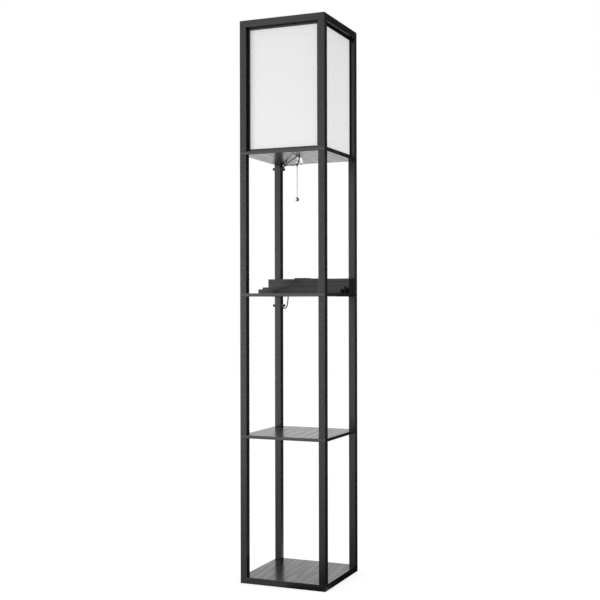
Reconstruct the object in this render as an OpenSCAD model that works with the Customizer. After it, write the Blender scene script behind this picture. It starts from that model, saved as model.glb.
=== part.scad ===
// A column floor lamp: a square tower of posts and boards, with three shelves,
// a linen-panelled light box at the top and a charging dock on the middle shelf.
// The origin is the centre of the base's underside, +Z is up and -Y is the front.

/* [Column] */
// Width and depth of the column over its posts
body_w = 260; // [230:1:320]
// Side of a post's square section
post_w = 20; // [18:1:26]
// Length of a post between two boards
tier_h = 394; // [340:1:440]
// Length of a post beside the shade
shade_h = 353; // [300:1:420]
// Thickness of the base board
base_t = 18; // [16:1:25]
// Thickness of a shelf board
board_t = 9; // [8:0.5:12]
// Height of a top rail
rail_h = 20; // [19:1:30]
// Width of a top rail
rail_w = 20; // [18:1:24]

/* [Shade] */
// How far the shade's frames lie behind the posts' outer faces
shade_inset = 12; // [6:1:14]
// Width of a frame strip, seen from outside
strip_w = 7; // [6:0.5:12]
// Depth of a frame strip
strip_t = 8; // [6:0.5:8]
// Width of the rebate that holds the panel
rebate_w = 3.5; // [2:0.5:4]
// Thickness of the strip that is left in front of the panel
front_edge_t = 1.5; // [1.2:0.1:4]
// Thickness of a linen panel
panel_t = 1.2; // [0.8:0.1:1.4]

/* [Fasteners] */
// Diameter of a bolt or stud
stud_d = 6; // [5:0.5:8]
// Depth of a stud in each post
stud_depth = 20; // [15:1:30]
// Diameter of a base bolt's countersunk head
bolt_head_d = 12; // [11:0.5:14]
// Height of the countersunk head
bolt_head_h = 3.5; // [3:0.1:5]
// Diameter of a wooden dowel
dowel_d = 6; // [5:0.5:6]
// Depth of an upright dowel in the top rail
dowel_up = 9; // [6:0.5:9]
// Depth of a lying dowel in each rail
dowel_side = 8; // [6:0.5:12]
// How far a lying dowel is below the rail's top
dowel_drop = 5.5; // [5:0.1:6]

/* [Lamp holder] */
// Outer diameter of the lamp holder
holder_d = 38; // [36:1:44]
// Height of the lamp holder
holder_h = 60; // [58:1:70]
// Diameter of the holder's hollow for the shell
holder_bore = 29; // [28.8:0.1:30]
// Height of the floor under the shell
holder_floor = 34; // [33:0.5:36]
// Outer diameter of the screw shell
shell_d = 28.4; // [28:0.1:28.6]
// Wall of the screw shell
shell_wall = 0.8; // [0.5:0.1:0.8]
// Height of the screw shell
shell_h = 24; // [20:1:24]
// Diameter of the bulb's screw cap
cap_d = 26.2; // [25:0.1:26.4]
// Height of the bulb's screw cap
cap_h = 26; // [25:1:27]
// Diameter of the bulb
bulb_d = 60; // [50:1:70]
// Height of the bulb above its cap
bulb_h = 84; // [76:1:100]
// Outer diameter of the threaded nipple
nipple_d = 9.9; // [8:0.1:11]
// Wall of the threaded nipple
nipple_wall = 1.4; // [1:0.1:2]
// How far the nipple stands up in the holder
nipple_up = 14; // [10:1:14]
// How far the nipple hangs below the shelf
nipple_down = 11; // [10:0.5:11]

/* [Switch and pull chain] */
// Diameter of the bell's rim
bell_d = 29; // [27:0.5:36]
// Diameter of the bell's neck
bell_neck_d = 14; // [13.5:0.5:16]
// Height of the bell
bell_h = 17; // [16:0.5:22]
// Wall of the bell
bell_wall = 0.9; // [0.6:0.1:1.2]
// How far the chain hangs to the left of the holder's centre
chain_off = 8; // [7:0.5:8]
// Outer diameter of the chain's spout
spout_d = 6; // [5.4:0.2:7]
// How far the spout stands below the switch
spout_h = 6; // [5:0.5:8]
// Diameter of the pull stem
stem_d = 3; // [2.4:0.1:3.2]
// Diameter of a chain bead
bead_d = 3; // [2.4:0.1:3.6]
// Distance from bead to bead
bead_step = 4.2; // [4:0.1:5]
// Number of beads
bead_count = 21; // [10:1:30]
// Diameter of the pull ball
ball_d = 11; // [9:0.5:16]

/* [Charging dock] */
// Height of the dock box
dock_h = 44; // [42:1:60]
// Depth of the dock box from front to back
dock_depth = 47; // [46:1:60]
// Wall of the dock box
dock_wall = 9; // [8:0.5:9]
// Width of the rear device slot
slot_rear_w = 33; // [20:1:40]
// Width of the front device slot
slot_front_w = 21; // [14:1:30]
// Thickness of the rear lip
lip_rear_t = 9; // [7:1:12]
// Height of the rear lip
lip_rear_h = 19; // [15:1:30]
// Thickness of the front lip
lip_front_t = 8; // [6:1:12]
// Height of the front lip
lip_front_h = 13; // [10:1:20]

/* [Power module] */
// Place of the module's centre across the dock
module_x = -8; // [-16:1:20]
// Width of each face's flange
plate_w = 39; // [37:1:44]
// Depth of the flanges
plate_depth = 36; // [32:1:44]
// Thickness of the outlet's flange
plate_t = 3; // [2:0.5:4]
// Thickness of the charging face's flange
usb_plate_t = 1.2; // [1:0.1:2]
// Width of the module's box below the plate
module_w = 70; // [69:1:72]
// Depth of the module's box
module_depth = 26; // [26:1:28]
// Height of the module's box
module_h = 30; // [24:1:32]
// Wall of the module's box
module_wall = 2; // [1.5:0.1:2]
// Gap between the blocks under the two flanges
face_gap = 2; // [1:0.5:6]
// Gap between the blocks and the box, at the front and the back
face_play = 0.5; // [0.3:0.1:1.5]
// Height of both blocks, flange included
face_h = 15; // [12:1:18]

/* [Leads] */
// Diameter of a lead
lead_d = 3.4; // [3:0.1:3.6]
// Diameter of a hole that a lead passes
lead_hole_d = 7; // [6.5:0.5:7.5]
// Diameter of a strain relief at the holder
relief_d = 6.4; // [6:0.1:6.8]
// Diameter of a strain relief at its tip
relief_tip_d = 4.8; // [4.6:0.1:5.2]
// Height of a cord clip
clip_h = 8; // [7:0.5:8]
// Thickness of a clip's strap
clip_t = 2.5; // [1.5:0.5:4]
// Room for the leads between a post and a clip's strap
clip_room = 9; // [9:0.5:12]
// How far a clip's ends stand out beside the post
clip_side = 7.5; // [6:0.5:8]
// How far a clip's ends reach forward along the post
clip_reach = 18; // [8:1:19]
// How far the upper clip's centre is below the upper shelf
clip_high_drop = 13; // [13:1:18]
// How far the lower clip's centre is below the middle shelf
clip_low_drop = 26; // [15:1:26]
// Length of the hank's straight runs
hank_run = 60; // [58:1:76]
// Step from one run of the hank to the next
hank_step = 4; // [4:0.1:4.4]
// Rise from the hank's lower layer to its upper one
hank_rise = 3.85; // [3.85:0.05:4.6]
// How far the hank's runs are drawn in at the waist
hank_waist = 4; // [0:0.5:5]
// Width of the hank's tie
tie_w = 6; // [4:1:10]
// Thickness of the tie
tie_t = 0.6; // [0.4:0.1:1]
// Width of the plug
plug_w = 22; // [20:1:24]
// Height of the plug as it lies
plug_h = 10.5; // [9:0.5:11]
// Length of the plug's body
plug_l = 26; // [22:1:34]
// Length of the plug's strain relief
plug_relief_l = 20; // [20:1:22]

/* [Clearances] */
// Gap round a shade frame and at a butt joint
fit_gap = 0.3; // [0.1:0.1:0.5]
// Gap round a screwed or plugged-in piece
thread_gap = 0.1; // [0.05:0.05:0.2]
// Gap round a lead in its bore
lead_gap = 0.15; // [0.1:0.05:0.3]
// Gap round the pull stem in its spout
stem_gap = 0.1; // [0.05:0.05:0.2]

/* [Hidden] */
$fn = 64;

half_w = body_w / 2;
post_c = half_w - post_w / 2;
inner_w = body_w - 2 * post_w;
step_h = tier_h + board_t;
end_gap = 1;

TIERS = ["bottom", "middle", "upper", "shade"];
CORNERS = ["front_left", "front_right", "rear_left", "rear_right"];
CORNER_AT = [[-1, -1], [1, -1], [-1, 1], [1, 1]];
SIDES = ["front", "right", "rear", "left"];
function post_name(t, c) = str(TIERS[t], "_post_", CORNERS[c]);

// Heights of the column
function tier_z(t) = base_t + t * step_h;
function shelf_z(s) = base_t + tier_h + s * step_h;
function post_len(t) = t < 3 ? tier_h : shade_h;
holder_z = tier_z(3);
under_z = shelf_z(2);
top_z = holder_z + shade_h;
echo(total_height = top_z + rail_h);

// Colours of the finishes
black_ash = [0.13, 0.13, 0.13];
linen = [0.93, 0.93, 0.92];
black_plastic = [0.06, 0.06, 0.065];
grey_plastic = [0.32, 0.32, 0.33];
nickel = [0.82, 0.82, 0.8];
white_paint = [0.92, 0.92, 0.9];
steel = [0.62, 0.62, 0.64];
wood_pin = [0.78, 0.62, 0.42];

// Turns the front side's pieces to each of the four sides
module on_side(s) {
    rotate([0, 0, 90 * s]) children();
}

module at_corners() {
    for (c = CORNER_AT) translate([c[0] * post_c, c[1] * post_c, 0]) children();
}

// Bores
stud_bore = stud_d + 2 * thread_gap;
dowel_bore = dowel_d + 2 * thread_gap;
stud_hole = stud_depth + end_gap;

// A board as wide as the column, with a hole over every post
module board(t) {
    difference() {
        translate([-half_w, -half_w, 0]) cube([body_w, body_w, t]);
        at_corners() translate([0, 0, -1]) cylinder(d = stud_bore, h = t + 2);
    }
}

module base_board() color(black_ash) {
    difference() {
        board(base_t);
        at_corners() {
            translate([0, 0, -1]) cylinder(d = bolt_head_d + 2 * thread_gap, h = 1 + bolt_sink);
            bolt_head(thread_gap);
        }
    }
}

// A countersunk head, a little above the underside
bolt_sink = 0.3;
module bolt_head(grow) translate([0, 0, bolt_sink])
    cylinder(d1 = bolt_head_d + 2 * grow, d2 = stud_d + 2 * grow, h = bolt_head_h);

module lower_shelf() color(black_ash) translate([0, 0, shelf_z(0)]) board(board_t);

module middle_shelf() color(black_ash) {
    difference() {
        translate([0, 0, shelf_z(1)]) board(board_t);
        translate([dock_hole[0], dock_hole[1], shelf_z(1) - 1])
            cylinder(d = lead_hole_d, h = board_t + 2);
    }
}

// The upper shelf has the nipple's hole, an upright hole for the link lead
// and a slanted one, which lets the mains lead leave close under the board
module upper_shelf() color(black_ash) {
    difference() {
        translate([0, 0, shelf_z(2)]) board(board_t);
        translate([0, 0, under_z - 1]) cylinder(d = nipple_d + 2 * thread_gap, h = board_t + 2);
        translate([link_hole[0], link_hole[1], under_z - 1])
            cylinder(d = lead_hole_d, h = board_t + 2);
        translate(mains_hole) along(slant) translate([0, 0, -2 * board_t])
            cylinder(d = lead_hole_d, h = 4 * board_t);
    }
}

module post(t, c) color(black_ash) {
    len = post_len(t);
    top_bore = t < 3 ? stud_bore : dowel_bore;
    translate([CORNER_AT[c][0] * post_c, CORNER_AT[c][1] * post_c, tier_z(t)]) difference() {
        translate([-post_w / 2, -post_w / 2, 0]) cube([post_w, post_w, len]);
        translate([0, 0, -1]) cylinder(d = stud_bore, h = stud_hole + 1);
        translate([0, 0, len - stud_hole]) cylinder(d = top_bore, h = stud_hole + 1);
    }
}

// Two long rails, with two short ones between them
short_rail = body_w - 2 * rail_w - 2 * fit_gap;
rail_c = half_w - rail_w / 2;
module top_rails() color(black_ash) translate([0, 0, top_z]) difference() {
    union() {
        for (s = [-1, 1]) {
            translate([-half_w, s * rail_c - rail_w / 2, 0]) cube([body_w, rail_w, rail_h]);
            translate([s * rail_c - rail_w / 2, -short_rail / 2, 0])
                cube([rail_w, short_rail, rail_h]);
        }
    }
    at_corners() translate([0, 0, -1]) cylinder(d = dowel_bore, h = dowel_up + end_gap + 1);
    lying_dowels(thread_gap, end_gap);
}

// Dowels between the short rails and the long ones
module lying_dowels(grow, longer) {
    for (x = [-1, 1]) for (y = [-1, 1])
        translate([x * rail_c, y * (half_w - rail_w), rail_h - dowel_drop])
            rotate([90, 0, 0])
                cylinder(d = dowel_d + 2 * grow, h = 2 * (dowel_side + longer), center = true);
}

module frame_dowels() color(wood_pin) translate([0, 0, top_z]) {
    at_corners() translate([0, 0, -stud_depth]) cylinder(d = dowel_d, h = stud_depth + dowel_up);
    lying_dowels(0, 0);
}

module base_bolts() color(steel) at_corners() {
    bolt_head(0);
    translate([0, 0, bolt_sink]) cylinder(d = stud_d, h = base_t + stud_depth - bolt_sink);
}

module shelf_studs() color(steel) {
    for (s = [0:2]) translate([0, 0, shelf_z(s) - stud_depth])
        at_corners() cylinder(d = stud_d, h = 2 * stud_depth + board_t);
}

// Shade frame: two stiles and two rails, rebated at the back for the panel
frame_w = inner_w - 2 * fit_gap;
frame_h = shade_h - 2 * fit_gap;
frame_y = -half_w + shade_inset;
rebate_t = strip_t - front_edge_t;
open_w = frame_w - 2 * strip_w;
open_h = frame_h - 2 * strip_w;
module shade_frame(s) color(black_ash) on_side(s) translate([0, frame_y, holder_z + fit_gap]) {
    difference() {
        union() {
            for (x = [-frame_w / 2, frame_w / 2 - strip_w])
                translate([x, 0, 0]) cube([strip_w, strip_t, frame_h]);
            for (z = [0, frame_h - strip_w])
                translate([-open_w / 2 + fit_gap, 0, z])
                    cube([open_w - 2 * fit_gap, strip_t, strip_w]);
        }
        translate([-open_w / 2 - rebate_w, strip_t - rebate_t, strip_w - rebate_w])
            cube([open_w + 2 * rebate_w, rebate_t + 1, open_h + 2 * rebate_w]);
    }
}

panel_edge = rebate_w - fit_gap;
module shade_panel(s) color(linen) on_side(s)
    translate([-open_w / 2 - panel_edge, frame_y + strip_t - rebate_t,
               holder_z + fit_gap + strip_w - panel_edge])
        cube([open_w + 2 * panel_edge, panel_t, open_h + 2 * panel_edge]);

// Lamp holder: a wiring room below the floor and the screw shell above it
contact_d = 5;
chamber_r = 12;
lead_in_z = 23;
module holder_body() color(black_plastic) difference() {
    translate([0, 0, holder_z]) rotate_extrude() polygon([
        [nipple_d / 2 + thread_gap, 0], [holder_d / 2, 0],
        [holder_d / 2, holder_h - 2], [holder_d / 2 - 2, holder_h],
        [holder_bore / 2, holder_h], [holder_bore / 2, holder_floor],
        [contact_d / 2 + thread_gap, holder_floor],
        [contact_d / 2 + thread_gap, holder_floor - 3],
        [chamber_r, holder_floor - 3], [chamber_r, nipple_up + 1],
        [nipple_d / 2 + thread_gap, nipple_up + 1]
    ]);
    for (route = [link_route, mains_route])
        translate([0, 0, holder_z + lead_in_z]) along(flat(route[1])) {
            cylinder(d = lead_d + 2 * lead_gap, h = holder_d);
            translate([0, 0, relief_seat - thread_gap])
                cylinder(d = relief_d + 2 * thread_gap, h = holder_d);
        }
}

module socket_shell() color(nickel) translate([0, 0, holder_z + holder_floor])
    rotate_extrude() polygon([
        [contact_d, 0], [shell_d / 2, 0], [shell_d / 2, shell_h],
        [shell_d / 2 - shell_wall, shell_h], [shell_d / 2 - shell_wall, shell_wall],
        [contact_d, shell_wall]
    ]);

module centre_contact() color(nickel) translate([0, 0, holder_z + holder_floor - 5])
    cylinder(d = contact_d, h = 5 + shell_wall + fit_gap);

module holder_nipple() color(steel) translate([0, 0, under_z - nipple_down]) difference() {
    cylinder(d = nipple_d, h = nipple_down + board_t + nipple_up);
    translate([0, 0, -1])
        cylinder(d = nipple_d - 2 * nipple_wall, h = nipple_down + board_t + nipple_up + 2);
}

// The bulb screws down until its tip is just above the shell's floor
tip_h = 2.6;
cap_z = holder_z + holder_floor + shell_wall + fit_gap;
module bulb_cap() color(nickel) translate([0, 0, cap_z]) rotate_extrude() polygon([
    [0, 0], [4, 0], [5, tip_h / 2], [11, tip_h], [cap_d / 2, tip_h + 2],
    [cap_d / 2, tip_h + cap_h], [0, tip_h + cap_h]
]);

// Glass envelope: a ball that runs down into the neck
bulb_r = bulb_d / 2;
glass_wall = 1;
bulb_base_z = cap_z + tip_h + cap_h;
function bulb_arc(r, angles) = [for (a = angles) [r * cos(a), bulb_h - bulb_r + r * sin(a)]];
module bulb_globe() color([0.97, 0.97, 0.95]) translate([0, 0, bulb_base_z])
    rotate_extrude() polygon(concat(
        bulb_arc(bulb_r, [90:-7:-50]), [[cap_d / 2 + 0.4, 0], [cap_d / 2 - 1, 0]],
        bulb_arc(bulb_r - glass_wall, [-50:7:90])
    ));

// Bell under the shelf, and the switch that it covers
bell_neck_h = 5;
bell_mid_r = (bell_d / 2 + bell_neck_d / 2) / 2;
bell_mid_z = bell_neck_h + (bell_h - bell_neck_h) * 0.6;
module switch_bell() color(white_paint) translate([0, 0, under_z]) mirror([0, 0, 1])
    rotate_extrude() polygon([
        [nipple_d / 2 + thread_gap, 0], [bell_neck_d / 2, 0], [bell_neck_d / 2, bell_neck_h],
        [bell_mid_r, bell_mid_z], [bell_d / 2, bell_h], [bell_d / 2 - bell_wall, bell_h],
        [bell_mid_r - bell_wall, bell_mid_z + bell_wall],
        [bell_neck_d / 2 - bell_wall / 2, bell_neck_h + bell_wall],
        [nipple_d / 2 + thread_gap, bell_neck_h + bell_wall]
    ]);

switch_top = 9;
switch_low = bell_h - 1;
switch_r = chain_off + spout_d / 2 + 0.6;
bore_top = switch_top + 3;
stem_bore = stem_d + 2 * stem_gap;
module switch_body() color(black_plastic) translate([0, 0, under_z]) mirror([0, 0, 1])
    difference() {
        union() {
            rotate_extrude() polygon([
                [0, nipple_down], [nipple_d / 2 + thread_gap, nipple_down],
                [nipple_d / 2 + thread_gap, switch_top], [bell_neck_d / 2 - 0.5, switch_top],
                [bell_mid_r - 1.8, bell_mid_z], [switch_r, switch_low], [0, switch_low]
            ]);
            translate([-chain_off, 0, switch_low - 1]) cylinder(d = spout_d, h = spout_h + 1);
        }
        translate([-chain_off, 0, bore_top])
            cylinder(d = stem_bore, h = switch_low + spout_h - bore_top + 1);
    }

// Pull stem, its eye and the bead chain, down from the spout
stem_top = bore_top + 0.4;
stem_low = switch_low + spout_h + 1.5;
eye_d = stem_d + 0.6;
eye_c = stem_low + fit_gap + eye_d / 2;
chain_top = eye_c + eye_d / 2 + fit_gap;
first_bead = chain_top + bead_d / 2;
last_bead = first_bead + (bead_count - 1) * bead_step;
ball_c = last_bead + bead_d / 2 + ball_d / 2 - 0.5;
function chain_z(drop) = under_z - drop;

module pull_stem() color(steel) translate([-chain_off, 0, chain_z(stem_low)])
    cylinder(d = stem_d, h = stem_low - stem_top);

module chain_eye() color(nickel) translate([-chain_off, 0, chain_z(eye_c)]) sphere(d = eye_d);

module pull_chain() color(nickel) {
    for (i = [0:bead_count - 1])
        translate([-chain_off, 0, chain_z(first_bead + i * bead_step)]) sphere(d = bead_d);
    translate([-chain_off, 0, chain_z(last_bead)])
        cylinder(d = bead_d / 3, h = last_bead - first_bead);
    translate([-chain_off, 0, chain_z(ball_c)]) sphere(d = ball_d);
}

// Charging dock on the middle shelf
dock_z = shelf_z(1) + board_t;
dock_back = half_w - post_w;
dock_front = dock_back - dock_depth;
lip_rear_y = dock_front - slot_rear_w - lip_rear_t;
lip_front_y = lip_rear_y - slot_front_w - lip_front_t;
wall_h = dock_h - dock_wall;
end_len = dock_depth - 2 * dock_wall - 2 * fit_gap;
module dock_walls() color(black_ash) {
    for (y = [dock_front, dock_back - dock_wall])
        translate([-half_w, y, dock_z]) cube([body_w, dock_wall, wall_h]);
    for (x = [-half_w, half_w - dock_wall])
        translate([x, dock_front + dock_wall + fit_gap, dock_z])
            cube([dock_wall, end_len, wall_h]);
}

module_y = (dock_front + dock_back) / 2;
module dock_lid() color(black_ash) difference() {
    translate([-half_w, dock_front, dock_z + wall_h]) cube([body_w, dock_depth, dock_wall]);
    translate([module_x, module_y, dock_z + wall_h])
        box(module_w + 2 * fit_gap, module_depth + 2 * fit_gap, -1, dock_wall + 1);
}

module lip(y, t, h) color(black_ash) translate([-half_w, y, dock_z]) cube([body_w, t, h]);

// A box centred on the origin in X and Y, from low to high in Z
module box(w, d, low, high) {
    translate([-w / 2, -d / 2, low]) cube([w, d, high - low]);
}

// Power module: a box through the lid's cut-out, with two flanged faces on it
lid_z = dock_z + dock_h;
outlet_x = module_x - plate_w / 2;
usb_x = module_x + plate_w / 2;
module_left = module_x - module_w / 2;
face_w = module_w / 2 - module_wall - face_gap / 2;
face_depth = module_depth - 2 * module_wall - 2 * face_play;
block_shift = (plate_w - face_w - face_gap) / 2;
module module_box() color(black_plastic) difference() {
    translate([module_x, module_y, lid_z]) difference() {
        box(module_w, module_depth, -module_h, 0);
        box(module_w - 2 * module_wall, module_depth - 2 * module_wall,
            module_wall - module_h, 1);
    }
    translate([module_left, module_y, link_end_z]) rotate([0, 90, 0])
        cylinder(d = lead_d + 2 * lead_gap, h = 4 * module_wall, center = true);
}

// A flange on the lid, with its block in the box below
module face_body(x, side, t) {
    translate([x, module_y, lid_z]) box(plate_w, plate_depth, 0, t);
    translate([x + side * block_shift, module_y, lid_z + t])
        box(face_w, face_depth, -face_h, -0.5);
}

// Outlet face: two slots and a round earth hole
blade_gap = 12.7;
module outlet_face() color(black_plastic) difference() {
    face_body(outlet_x, 1, plate_t);
    translate([outlet_x + block_shift, module_y, lid_z + plate_t]) {
        for (x = [-blade_gap / 2, blade_gap / 2])
            translate([x, 3.5, 0]) box(2, 8, 1 - face_h, 1);
        translate([0, -5.5, 1 - face_h]) cylinder(d = 5, h = face_h);
    }
}

// Charging face: two ports, each with its tongue
module usb_face() color(grey_plastic) difference() {
    face_body(usb_x, -1, usb_plate_t);
    for (y = [-5, 5]) translate([usb_x - block_shift, module_y + y, lid_z + usb_plate_t])
        difference() {
            box(13, 5.6, 2 - face_h, 1);
            translate([0, 0.9, 0]) box(11, 1.9, -face_h, -1);
        }
}

// Converter board in the bottom of the module's box
module converter_board() color([0.1, 0.3, 0.16]) {
    translate([usb_x - block_shift, module_y, lid_z - module_h + module_wall]) {
        box(face_w - 2, face_depth - 1, 0, 1.6);
        translate([-6, 0, 0]) box(12, 12, 1.5, 7);
        translate([8, -4, 0]) box(8, 8, 1.5, 5);
    }
}

// Where the hank starts, on the floor behind the base
hank_x = 40 - half_w;
hank_y = half_w + 2;
hank_z = 1.8;
hank_end = hank_x + hank_run;

// Lead routes, as points chosen along them. A row holds x, y and z, then how far the
// point goes with the rear left corner when the column gets wider, from 0 to 1, and
// the same for y where it differs. Heights are from the underside of a shelf.
drawn_half = 130;
function placed(rows, z) = [for (p = rows)
    let (grow = half_w - drawn_half, share_y = is_undef(p[4]) ? p[3] : p[4])
    [p[0] - p[3] * grow, p[1] + share_y * grow, z + p[2]]];
function moved(rows, by) = [for (p = rows) p + by];

// Link lead: from the holder through the upright hole and over the upper clip
link_upper = [
    [4, -10, 32, 0], [8, -20, 32, 0], [14, -35, 32, 0], [17, -42, 30, 0], [19, -48, 24, 0],
    [20, -50, 16, 0], [20.5, -51, 8, 0], [20.5, -51, 0.5, 0], [19.5, -49, -6.5, 0],
    [17.5, -46, -13, 0], [13.5, -42, -18, 0], [9, -37.5, -21, 0], [3.5, -32.5, -22, 0],
    [-2, -27.5, -22, 0], [-7, -22, -22, 0], [-15.5, -10, -21, 0], [-24, 2, -19, 0.12],
    [-41.5, 26, -15, 0.37], [-58.5, 50.5, -11.5, 0.62], [-73.5, 76, -8.5, 0.84],
    [-84.5, 95.5, -6, 1], [-90.5, 109, -4.5, 1], [-93.5, 116, -3.5, 1], [-97, 123, -2.5, 1],
    [-101.5, 129, -2, 1], [-107, 134, -2, 1], [-113, 137, -5, 1], [-118.5, 137, -10, 1],
    [-122, 136.5, -16.5, 1], [-124, 135, -23.5, 1], [-124, 134, -31, 1],
    [-124, 132.5, -46, 1], [-124, 132, -68, 1]
];
// Down behind the post and round the lower clip
link_lower = [
    [-124, 132, 7, 1], [-124, 133, -4, 1], [-124, 134.5, -12, 1], [-122.5, 136, -19, 1],
    [-119.5, 137, -25.5, 1], [-114.5, 136, -31, 1], [-109, 133, -34, 1],
    [-103, 128, -34.5, 1], [-98.5, 123, -33, 0.8, 1], [-94, 117, -31, 0.55, 1],
    [-90, 111, -29, 0.3, 1]
];
// Up through the middle shelf into the module, from the left face of its box
link_dock = [
    [-43.5, 18.5, -27], [-40.5, 13, -24], [-37.5, 8, -19.5], [-35, 4, -14], [-33, 1.5, -7.5],
    [-31.5, 0, -0.5], [-31, -0.5, 7], [-31, -0.5, 19], [-29, -0.5, 27], [-23, -0.5, 33],
    [-15, -0.5, 35], [3, -0.5, 35]
];
link_route = concat(placed(link_upper, under_z), placed(link_lower, shelf_z(1)),
                    moved(link_dock, [module_left, module_y, shelf_z(1)]));
link_hole = [20.5, -51];
dock_hole = [module_left - 31.5, module_y];
link_end_z = shelf_z(1) + 35;

// Mains lead: from the holder through the slanted hole and over the upper clip
mains_upper = [
    [8, -6, 32, 0], [16, -12, 32, 0], [32, -24, 32, 0], [36, -30.5, 31.5, 0],
    [38, -37, 30, 0], [39, -44, 27.5, 0], [38, -50.5, 24, 0], [35, -55.5, 19.5, 0],
    [31, -59, 14, 0], [26.5, -60.5, 8.5, 0], [21.5, -60.5, 3, 0], [16, -59, -2, 0],
    [10, -55.5, -5, 0], [4, -51.5, -7, 0], [-1, -46.5, -8, 0], [-8, -38, -8.5, 0],
    [-24, -14, -8, 0.12], [-54, 36, -8, 0.55], [-73.5, 67.5, -6.5, 0.84],
    [-85, 86.5, -5.5, 1], [-93, 99, -4.5, 1], [-99, 112.5, -2.5, 1], [-102, 119.5, -2.5, 1],
    [-105, 126, -3.5, 1], [-108.5, 131.5, -6, 1], [-112, 135, -11.5, 1],
    [-114.5, 135.5, -18.5, 1], [-116, 134.5, -26, 1], [-116, 133, -33, 1],
    [-116, 132, -40.5, 1]
];
// Down behind the post to the floor, where the hank begins
mains_lower = [
    [-116, 132, 900, 1], [-116, 132, 500, 1], [-116, 132, 22, 1], [-115.5, 132, 15.5, 1],
    [-113, 132, 9, 1], [-108.5, 132, 4.5, 1], [-102, 132, 2, 1]
];
mains_route = concat(placed(mains_upper, under_z), placed(mains_lower, 0),
                     [[hank_x - lead_d, hank_y, hank_z]]);
mains_hole = [18.5, -60, under_z];
slant = [10, -1, 10.5];

// From the hank over to the plug
tail_route = concat([[hank_end + lead_d, hank_y, hank_z + hank_rise]], moved([
    [12, 0.5, 5.5], [22, 3, 5.5], [32, 7, 5.5], [42, 9.5, 5.5], [50, 10, 5.5], [76, 10, 5.5]
], [hank_end, hank_y, 0]));

// Vectors
function flat(p) = [p[0], p[1], 0];
function unit(v) = v / norm(v);
function dirs(p) = [for (i = [0:len(p) - 1])
    i == 0 ? unit(p[1] - p[0])
    : i == len(p) - 1 ? unit(p[i] - p[i - 1])
    : unit(unit(p[i] - p[i - 1]) + unit(p[i + 1] - p[i]))];
function across(n, d) = unit(n - (n * d) * d);

// Turns +Z to the direction v
module along(v) {
    rotate([0, acos(v[2] / norm(v)), atan2(v[1], v[0])]) children();
}

// A tube through the points, with its two ends square to the route
module tube(points, d, sides) {
    t = dirs(points);
    up = abs(t[0][2]) > 0.9 ? [1, 0, 0] : [0, 0, 1];
    n = [for (i = 0, v = across(up, t[0]); i < len(t);
              i = i + 1, v = i < len(t) ? across(v, t[i]) : v) v];
    rings = [for (i = [0:len(points) - 1]) for (k = [0:sides - 1])
        points[i] + d / 2 * (cos(360 * k / sides) * n[i]
                             + sin(360 * k / sides) * cross(t[i], n[i]))];
    last = (len(points) - 1) * sides;
    polyhedron(rings, concat(
        [[for (k = [sides - 1:-1:0]) k]],
        [[for (k = [0:sides - 1]) last + k]],
        [for (i = [0:len(points) - 2]) for (k = [0:sides - 1]) for (half = [0, 1])
            let (a = i * sides + k, b = i * sides + (k + 1) % sides)
            half == 0 ? [a, b, b + sides] : [a, b + sides, a + sides]]
    ), convexity = 20);
}

module link_lead() color(black_plastic) tube(link_route, lead_d, 8);
module mains_lead() color(black_plastic) tube(mains_route, lead_d, 8);
module mains_tail() color(black_plastic) tube(tail_route, lead_d, 8);

// Strain reliefs where the two leads enter the holder
relief_seat = 16;
link_relief_end = norm(flat(link_route[2]));
mains_relief_end = norm(flat(mains_route[2]));
module relief(route, far) translate([0, 0, holder_z + lead_in_z]) along(flat(route[1]))
    difference() {
        translate([0, 0, relief_seat])
            cylinder(d1 = relief_d, d2 = relief_tip_d, h = far - relief_seat);
        cylinder(d = lead_d + 2 * lead_gap, h = far + 1);
    }
module lead_reliefs() color(black_plastic) {
    relief(link_route, link_relief_end);
    relief(mains_route, mains_relief_end);
}

// Clips on the rear left post, round the two leads: a strap behind the leads, a round lug
// along each side of the post, and a slanting arm from each lug to the strap
lug_end = 1;
strap_in = 1.5;
arm_h = clip_h * 0.375;
arm_end = clip_room + clip_t;
module cord_clip(z) translate([post_w / 2 - half_w, half_w, z]) {
    translate([strap_in - post_w / 2, clip_room, -clip_h / 2])
        cube([post_w - 2 * strap_in, clip_t, clip_h]);
    for (s = [0, 1]) mirror([s, 0, 0]) {
        intersection() {
            translate([post_w / 2 + clip_side - clip_h / 2, -clip_reach, 0])
                rotate([-90, 0, 0]) cylinder(d = clip_h, h = clip_reach + lug_end);
            translate([post_w / 2 + clip_h, 0, 0]) box(2 * clip_h, 60, -clip_h, clip_h);
        }
        translate([post_w / 2, 0, -arm_h]) linear_extrude(arm_h) polygon([
            [1, 0], [2.7, 0], [2.7, 3], [-strap_in, arm_end - 0.2], [-strap_in - 2, arm_end - 0.2],
            [-strap_in - 2, clip_room + 0.2], [-1.2, clip_room + 0.2], [1, 3]
        ]);
    }
}
module cord_clips() color(black_plastic)
    for (z = [under_z - clip_high_drop, shelf_z(1) - clip_low_drop]) cord_clip(z);

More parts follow.
